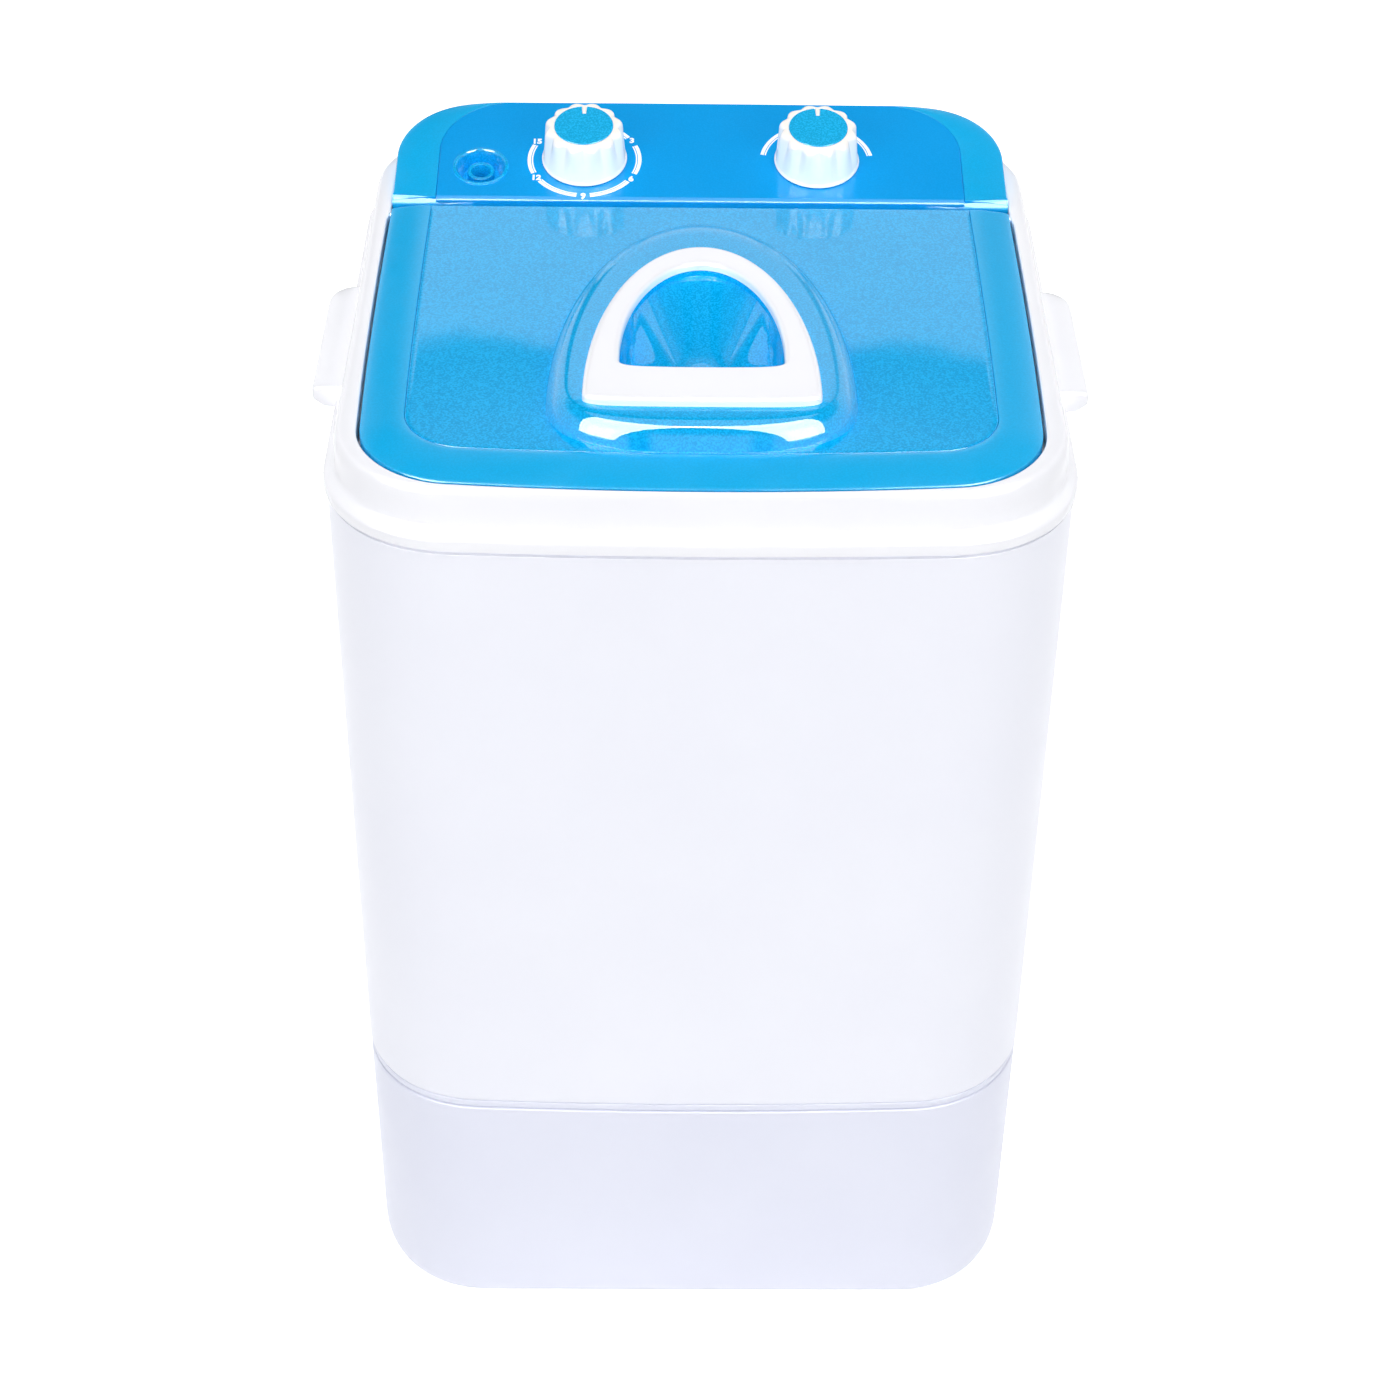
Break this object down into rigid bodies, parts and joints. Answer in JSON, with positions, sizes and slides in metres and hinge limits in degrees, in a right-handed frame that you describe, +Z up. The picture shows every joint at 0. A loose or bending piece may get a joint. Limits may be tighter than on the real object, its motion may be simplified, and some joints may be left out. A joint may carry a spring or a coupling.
{
  "type": "top load washing machine",
  "caption": "Compact portable top load washing machine with a hinged lid, a ring handle, turning timer and program knobs, and a belt driven pulsator in a single wash tub.",
  "frame": {"origin": "on the floor under the middle of the machine", "axes": "+Z up, the front faces -Y, +X to the right seen from the front"},
  "size_m": [0.386, 0.3668, 0.5992],
  "materials": {
    "cabinet_plastic": "gloss moulded plastic, cool white",
    "white_plastic": "gloss moulded plastic, white",
    "teal_plastic": "gloss moulded plastic, turquoise blue",
    "blue_plastic": "gloss moulded plastic, sky blue with a fine sparkle",
    "blue_facing": "printed gloss facing, blue",
    "teal_cap": "satin moulded cap, turquoise blue",
    "white_print": "screen print",
    "tub_plastic": "smooth moulded plastic",
    "pulsator_plastic": "smooth moulded plastic, pale blue",
    "switch_plastic": "moulded plastic",
    "pipe_plastic": "extruded pipe",
    "dark_plastic": "moulded plastic, charcoal",
    "foot_rubber": "moulded rubber",
    "seal_rubber": "moulded rubber, black",
    "zinc_steel": "zinc plated steel",
    "sheet_steel": "grey painted sheet steel",
    "lamination_steel": "varnished steel laminations",
    "rotor_steel": "turned steel",
    "cast_alloy": "die cast aluminium",
    "bush_bronze": "sintered bronze",
    "capacitor_can": "drawn aluminium can"
  },
  "bodies": {
    "cabinet": {"base_housing": "cabinet_plastic", "feet": "foot_rubber", "foot_screws": "zinc_steel", "rear_cover": "cabinet_plastic", "cover_screws": "zinc_steel", "cabinet_shell": "cabinet_plastic", "case_screws": "zinc_steel", "top_frame": "white_plastic", "control_panel": "teal_plastic", "panel_fascia": "blue_facing", "dial_marks": "white_print", "water_inlet": "blue_plastic", "inlet_duct": "tub_plastic", "timer_unit": "switch_plastic", "selector_switch": "switch_plastic", "hinge_pins": "zinc_steel", "lid_buffers": "foot_rubber", "wash_tub": "tub_plastic", "lint_filter": "tub_plastic", "drain_grate": "tub_plastic", "drain_pipe": "pipe_plastic", "overflow_pipe": "pipe_plastic", "shaft_seal": "seal_rubber", "shaft_bushes": "bush_bronze", "bearing_housing": "cast_alloy", "housing_bolts": "zinc_steel", "deck_plate": "sheet_steel", "deck_screws": "zinc_steel", "drive_belt": "seal_rubber", "motor_stator": "lamination_steel", "motor_caps": "cast_alloy", "motor_mounts": "seal_rubber", "motor_bolts": "zinc_steel", "capacitor": "capacitor_can", "capacitor_clip": "sheet_steel", "terminal_box": "dark_plastic", "cord_gland": "dark_plastic"},
    "lid": {"lid_cover": "teal_plastic", "lid_panel": "blue_plastic", "handle_ring": "white_plastic"},
    "timer_dial": {"timer_knob": "white_plastic", "timer_cap": "teal_cap", "timer_shaft": "zinc_steel"},
    "selector_dial": {"selector_knob": "white_plastic", "selector_cap": "teal_cap", "selector_shaft": "zinc_steel"},
    "wash_drive": {"pulsator": "pulsator_plastic", "pulsator_screw": "zinc_steel", "pulsator_shaft": "zinc_steel", "driven_pulley": "cast_alloy", "pulley_nut": "zinc_steel"},
    "motor_drive": {"motor_rotor": "rotor_steel", "motor_pulley": "cast_alloy", "cooling_fan": "dark_plastic"}
  },
  "joints": [
    {"name": "lid_hinge", "type": "hinge", "parent": "cabinet", "child": "lid", "pos_m": [0, 0.0855, 0.558], "axis": [-1, 0, 0], "range_deg": [0, 95]},
    {"name": "timer_turn", "type": "hinge", "parent": "cabinet", "child": "timer_dial", "pos_m": [-0.063, 0.1245, 0.57184], "axis": [0, -0.2079, 0.9781], "range_deg": [-300, 0]},
    {"name": "selector_turn", "type": "hinge", "parent": "cabinet", "child": "selector_dial", "pos_m": [0.063, 0.1245, 0.57184], "axis": [0, -0.2079, 0.9781], "range_deg": [-90, 90]},
    {"name": "pulsator_spin", "type": "hinge", "parent": "cabinet", "child": "wash_drive", "pos_m": [0, -0.04, 0.113], "axis": [0, 0, 1], "continuous": true},
    {"name": "motor_spin", "type": "hinge", "parent": "cabinet", "child": "motor_drive", "pos_m": [0, 0.095, 0.113], "axis": [0, 0, 1], "continuous": true}
  ],
  "couplings": [
    {"joint": "motor_spin", "follows": "pulsator_spin", "ratio": 5.486}
  ]
}
